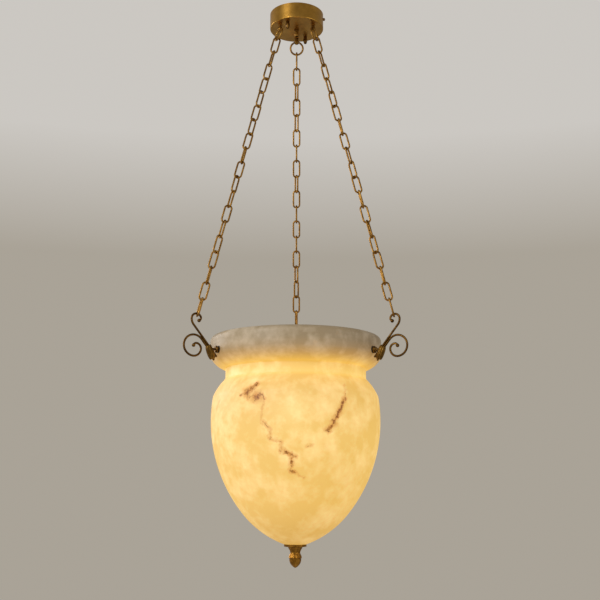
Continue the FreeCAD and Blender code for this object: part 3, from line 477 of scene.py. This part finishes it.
def milky(finish, cloud):
    """Where the stone is whiter: broad and small clouds, and soft flakes."""
    broad = finish.noise(scale=15.0, detail=3.0, rough=0.55)
    flakes = finish.node("ShaderNodeTexVoronoi", {"feature": "SMOOTH_F1"}, {
        "Vector": finish.place, "Scale": 34.0, "Smoothness": 0.6})
    return ((broad - 0.44) * 2.2 + (cloud - 0.5) * 1.8 + flakes * 0.25).clamped()


def painted_lamp_light_spots(finish):
    """1 in the stone before each lamp, fading to 0 round it: a painted spot of lamp light."""
    spots = None
    for turn in LAMP_TURNS:
        angle = math.radians(turn)
        centre = (LAMP_R * math.cos(angle), LAMP_R * math.sin(angle), RIM_Z - LAMP_DROP)
        away = finish.node(
            "ShaderNodeVectorMath", {"operation": "DISTANCE"}, (finish.place, centre), 1)
        spot = (1.0 - away * LAMP_SPREAD).clamped().power(2.0)
        spots = spot if spots is None else spots.larger(spot)
    return spots


def alabaster_finish():
    finish = Finish("glowing_alabaster")
    height = finish.node("ShaderNodeSeparateXYZ", {}, (finish.place,), 2)
    share = ((RIM_Z - height) / BOWL_DROP).clamped()
    cloud = finish.noise(scale=42.0, detail=5.0)
    milk = milky(finish, cloud)
    vein = vein_mask(finish)
    glow_patches = ((finish.noise(scale=24.0) - 0.62) * 7.0).clamped()
    halo = (vein * (0.3 + finish.noise(scale=70.0) * 1.7)).clamped()
    ragged = finish.noise(scale=130.0, detail=5.0, rough=0.7)
    stain = ((vein + ragged * 1.9 - 1.46) * 2.2).clamped()
    # The emission is painted light: the lamps' glow through the stone by depth, painted spots
    # before the lamps, brighter patches, and less light where the veins lie.
    lit = finish.mix(
        milk * MILK_SHARE, finish.ramp(share, GLOW), finish.ramp(share, MILKY_GLOW))
    lit = finish.mix(painted_lamp_light_spots(finish) * LAMP_SHARE, lit, LAMP_GLOW)
    lit = finish.mix(glow_patches * PATCH_SHARE, lit, PATCH_GLOW)
    lit = finish.mix(halo * HALO_SHARE, lit, HALO_GLOW)
    lit = finish.mix(stain, lit, STAIN_GLOW)
    skin = finish.mix(milk, GREY_STONE, MILKY_STONE)
    skin = finish.mix(halo * HALO_DARKENS, skin, HALO_STONE)
    skin = finish.mix(stain, skin, STAIN_STONE)
    return finish.set(Base_Color=skin, Roughness=cloud.between(0.42, 0.58), Emission_Color=lit,
                      Emission_Strength=1.0, Normal=finish.bump(cloud, depth=0.0002))


BOWL_SIDES = 160
turn_form(bowl_profile(), BOWL_SIDES)
bowl = settle("alabaster_bowl_turned", alabaster_finish(), "bowl")
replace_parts(bowl, "alabaster_bowl")


# ---- Scroll brackets ----------------------------------------------------------------------
# Two brass wires, bent to a hook and to an open spiral with ball ends, bound together at
# the foot by a ribbed collar. A bolt holds each on its turned rosette and goes through the
# lip to a rubber pad, a washer and a nut.
scroll_brass = aged_finish(
    "dark_scroll_brass", (0.040, 0.019, 0.005), (0.13, 0.064, 0.013), (0.34, 0.19, 0.046), 60.0)
for side in SIDES:
    dress(scroll_brass, f"hook_scroll_{side}", f"spiral_scroll_{side}", f"lip_boss_{side}")
dress(scroll_brass, "bracket_bolts")
binding_brass = aged_finish(
    "rubbed_binding_brass", (0.05, 0.024, 0.006), (0.19, 0.10, 0.020), (0.42, 0.25, 0.06), 90.0)
SIDE_ANGLE = {"back": 90.0, "left": 210.0, "right": 330.0}
COLLAR_R = LIP_R + 0.0190
COLLAR_Z = RIM_Z - 0.0470
COLLAR_TURN, COLLAR_RIBS = math.radians(68.0), 8
RIB_REACH, RIB_WIDE, RIB_LONG = 0.0048, 0.0068, 0.0315


def take_up(*pieces):
    """Selects these pieces alone, the first as the active one."""
    clear_selection()
    for piece in pieces:
        piece.select_set(True)
    bpy.context.view_layer.objects.active = pieces[0]


def with_copies(piece, count):
    """The piece and copies of it, count in all, each with its own mesh."""
    take_up(piece)
    pieces = [piece]
    while len(pieces) < count:
        bpy.ops.object.duplicate(linked=False)
        pieces.append(bpy.context.object)
    return pieces


def rib_bundle():
    """Ribs round the feet of both stems, towards +X; each is a ball drawn out long."""
    across = Vector((math.sin(COLLAR_TURN), 0.0, -math.cos(COLLAR_TURN)))
    sideways = Vector((0.0, 1.0, 0.0))
    middle = Vector((COLLAR_R, 0.0, COLLAR_Z))
    clear_selection()
    bpy.ops.mesh.primitive_uv_sphere_add(segments=16, ring_count=16, radius=0.5)
    first = bpy.context.object
    first.scale = (RIB_WIDE, RIB_WIDE, RIB_LONG)
    first.rotation_euler.y = math.pi / 2.0 - COLLAR_TURN
    ribs = with_copies(first, COLLAR_RIBS)
    for number, rib in enumerate(ribs):
        angle = 2.0 * math.pi * number / COLLAR_RIBS
        reach = (across * math.cos(angle) + sideways * math.sin(angle)) * RIB_REACH
        rib.location = middle + reach
    take_up(*ribs)
    bpy.ops.object.join()
    bpy.ops.object.transform_apply(location=True, rotation=True, scale=True)
    return bpy.context.object


for side, bundle in zip(SIDES, with_copies(rib_bundle(), len(SIDES))):
    take_up(bundle)
    bundle.rotation_euler.z = math.radians(SIDE_ANGLE[side])
    binding = settle(f"collar_binding_{side}", binding_brass, "bowl")
    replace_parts(binding, f"scroll_collar_{side}")


def rubber_finish():
    finish = Finish("black_rubber")
    cloud, colour = finish.cloudy(
        scale=400.0, dark=(0.018, 0.018, 0.018), light=(0.05, 0.048, 0.045))
    return finish.set(Base_Color=colour, Roughness=cloud.between(0.6, 0.8))


rubber = rubber_finish()
dress(rubber, "lip_pads")
dress(zinc, "lip_washers", "lip_nuts")


# ---- Rod, plate and lamp cluster ----------------------------------------------------------
# A threaded steel rod stands through the base between gasket, plate and nuts and carries a
# flat three-armed spider. Each arm holds a glazed porcelain lampholder with a frosted bulb.
THREAD_PITCH = 0.0015


def thread_finish():
    finish = Finish("threaded_steel")
    height = finish.node("ShaderNodeSeparateXYZ", {}, (finish.place,), 2)
    wave = (height * (2.0 * math.pi / THREAD_PITCH)).maths("SINE")
    cloud, colour = finish.cloudy(scale=300.0, dark=(0.40, 0.40, 0.38), light=(0.62, 0.62, 0.60))
    return finish.set(Base_Color=colour, Roughness=cloud.between(0.3, 0.5), Metallic=1.0,
                      Normal=finish.bump(wave, depth=0.0004))


dress(thread_finish(), "threaded_rod")
dress(rubber, "base_gasket")
dress(zinc, "base_plate", "rod_nuts", "cluster_spider")


def porcelain_finish():
    finish = Finish("glazed_porcelain")
    cloud, colour = finish.cloudy(scale=60.0, dark=(0.70, 0.67, 0.60), light=(0.80, 0.78, 0.72))
    return finish.set(Base_Color=colour, Roughness=cloud.between(0.12, 0.22), Coat_Weight=0.4)


def frosted_finish():
    finish = Finish("lit_frosted_glass")
    cloud, colour = finish.cloudy(scale=90.0, dark=(0.93, 0.88, 0.78), light=(0.98, 0.95, 0.88))
    glow = finish.ramp(cloud, [(0.3, (1.0, 0.80, 0.50)), (0.7, (1.0, 0.86, 0.60))])
    return finish.set(Base_Color=colour, Roughness=cloud.between(0.25, 0.40),
                      Emission_Color=glow, Emission_Strength=3.0)


porcelain, frosted = porcelain_finish(), frosted_finish()
cap_metal = aged_finish(
    "rolled_cap_metal", (0.52, 0.51, 0.48), (0.66, 0.65, 0.62), (0.78, 0.77, 0.74), 150.0)
for side in SIDES:
    dress(porcelain, f"lampholder_{side}")
    dress(frosted, f"bulb_glass_{side}")
    dress(cap_metal, f"bulb_cap_{side}")


# ---- Finial -------------------------------------------------------------------------------
# A flange of turned brass under the stone and an acorn that screws on to the rod below it:
# a fluted neck, a leaf cup with a beaded edge, and a reeded nut drawn to a point.
finial_brass = aged_finish(
    "dark_finial_brass", (0.075, 0.033, 0.005), (0.32, 0.150, 0.020), (0.64, 0.345, 0.060), 90.0)
dress(finial_brass, "finial_flange")
FLUTES, COLUMNS, ACORN_LENGTH, NEAR_RING = 12, 6, 0.0430, 0.00005
ACORN_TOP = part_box("finial_acorn")[1].z
ACORN = [
    # radius and drop below the flange, metres, then the depth of the flutes there
    (0.0155, 0.0000, 0.00), (0.0157, 0.0012, 0.06), (0.0146, 0.0030, 0.10),
    (0.0126, 0.0062, 0.12), (0.0113, 0.0095, 0.12), (0.0111, 0.0120, 0.10),
    (0.0118, 0.0145, 0.05), (0.0132, 0.0172, 0.08), (0.0140, 0.0192, 0.10),
    (0.0143, 0.0208, 0.08), (0.0144, 0.0218, 0.02), (0.0138, 0.0226, 0.00),
    (0.0128, 0.0234, 0.00), (0.0128, 0.0244, 0.00), (0.0131, 0.0256, 0.06),
    (0.0129, 0.0280, 0.09), (0.0123, 0.0305, 0.10), (0.0113, 0.0330, 0.10),
    (0.0098, 0.0355, 0.10), (0.0079, 0.0378, 0.09), (0.0058, 0.0398, 0.07),
    (0.0038, 0.0414, 0.03), (0.0020, 0.0424, 0.00)]


def acorn():
    """The turned form first; then the columns round each flute are drawn in, ring by ring."""
    steps = [(radius, ACORN_TOP - drop) for radius, drop, _ in ACORN]
    form = turn_form(steps + [(0.0, ACORN_TOP - ACORN_LENGTH)], FLUTES * COLUMNS)
    half = COLUMNS // 2
    bpy.ops.object.mode_set(mode="EDIT")
    bpy.ops.mesh.select_mode(type="VERT")
    for _, drop, depth in ACORN:
        if depth == 0.0:
            continue
        height = ACORN_TOP - drop
        for column in range(half):
            bpy.ops.mesh.select_all(action="DESELECT")
            bpy.ops.object.mode_set(mode="OBJECT")
            for vertex in form.data.vertices:
                spot = form.matrix_world @ vertex.co
                if abs(spot.z - height) > NEAR_RING:
                    continue
                share = math.atan2(spot.y, spot.x) / (2.0 * math.pi) * FLUTES
                place = round((share - math.floor(share)) * COLUMNS) % COLUMNS
                vertex.select = min(place, COLUMNS - place) == column
            bpy.ops.object.mode_set(mode="EDIT")
            draw = 1.0 - depth * (1.0 - (column / half) ** 2)
            bpy.ops.transform.resize(value=(draw, draw, 1.0), center_override=(0.0, 0.0, height))
    bpy.ops.mesh.select_all(action="SELECT")
    bpy.ops.mesh.normals_make_consistent(inside=False)
    bpy.ops.object.mode_set(mode="OBJECT")
    return settle("finial_acorn_reeded", finial_brass, "finial", 50.0)


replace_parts(acorn(), "finial_acorn")


# ---- Room, light and camera ---------------------------------------------------------------
# A plain pale floor well below the lamp, a pale surround, soft studio lights, and the
# photograph's camera: about two metres away at the bowl's height, looking a little up.
def floor_finish():
    finish = Finish("pale_floor")
    _, colour = finish.cloudy(scale=2.0, dark=(0.60, 0.58, 0.54), light=(0.63, 0.61, 0.57))
    return finish.set(Base_Color=colour, Roughness=0.9)


FLOOR_Z, FLOOR_SIZE = -2.2, 9.0
clear_selection()
bpy.ops.mesh.primitive_plane_add(size=FLOOR_SIZE, location=(0.0, 0.0, FLOOR_Z))
floor = bpy.context.object
floor.name = "floor"
floor.data.materials.append(floor_finish())

ROOM_TONE, ROOM_STRENGTH = (0.52, 0.49, 0.45), 0.55
WALL_TONE, CEILING_TONE = (0.40, 0.365, 0.31), (0.60, 0.575, 0.54)
WALL_HEIGHT, CEILING_HEIGHT = 0.24, 0.36


class Surround(Finish):
    """The room round the object, with the same kinds of nodes, painted by direction."""

    def __init__(self, name):
        self.world = bpy.data.worlds.new(name)
        self.world.use_nodes = True
        self.tree = self.world.node_tree
        self.place = self.node("ShaderNodeTexCoord", {}, (), "Generated")

    def show(self, surface):
        self.tree.links.new(surface.socket, self.tree.nodes["World Output"].inputs["Surface"])
        return self.world


def pale_room():
    """An even light on the object; in view, a wall that is paler towards the ceiling."""
    room = Surround("surround")
    height = room.node("ShaderNodeSeparateXYZ", {}, (room.place,), 2)
    shade = room.ramp(height, [(WALL_HEIGHT, WALL_TONE), (CEILING_HEIGHT, CEILING_TONE)])
    light = room.node("ShaderNodeBackground", {}, (room.colour(ROOM_TONE), ROOM_STRENGTH))
    seen = room.node("ShaderNodeBackground", {}, (shade,))
    in_view = room.node("ShaderNodeLightPath", {}, (), "Is Camera Ray")
    return room.show(room.node("ShaderNodeMixShader", {}, (in_view, light, seen)))


bpy.context.scene.world = pale_room()
LIGHT_AIM = Vector((0.0, 0.0, -0.65))


def soft_light(name, spot, size, power, colour):
    """A square area lamp turned towards the middle of the pendant."""
    clear_selection()
    bpy.ops.object.light_add(type="AREA", location=spot)
    lamp = bpy.context.object
    lamp.name = name
    lamp.data.size = size
    lamp.data.energy = power
    lamp.data.color = colour
    lamp.rotation_euler = (LIGHT_AIM - Vector(spot)).to_track_quat("-Z", "Y").to_euler()


soft_light("window_left", (-2.1, -2.5, 0.3), 1.1, 56.0, (1.0, 0.97, 0.93))
soft_light("fill_right", (2.8, -1.4, -0.6), 2.0, 20.0, (1.0, 0.95, 0.88))
soft_light("back_left", (-2.7, 1.3, 0.1), 1.2, 34.0, (1.0, 0.95, 0.92))

CAMERA_PLACE = (0.00916, -2.106, -1.1205)
CAMERA_PITCH, CAMERA_ROLL = math.radians(11.35), 0.00179
FOCAL_PIXELS, PICTURE_PIXELS, SENSOR_WIDTH = 950.0, 600.0, 36.0
bpy.ops.object.camera_add(location=CAMERA_PLACE)
camera = bpy.context.object
camera.rotation_mode = "QUATERNION"
tilt = Quaternion((1.0, 0.0, 0.0), math.pi / 2.0 + CAMERA_PITCH)
camera.rotation_quaternion = tilt @ Quaternion((0.0, 0.0, 1.0), CAMERA_ROLL)
camera.data.sensor_width = SENSOR_WIDTH
camera.data.lens = SENSOR_WIDTH * FOCAL_PIXELS / PICTURE_PIXELS
bpy.context.scene.camera = camera
bpy.context.scene.view_settings.view_transform = "Standard"
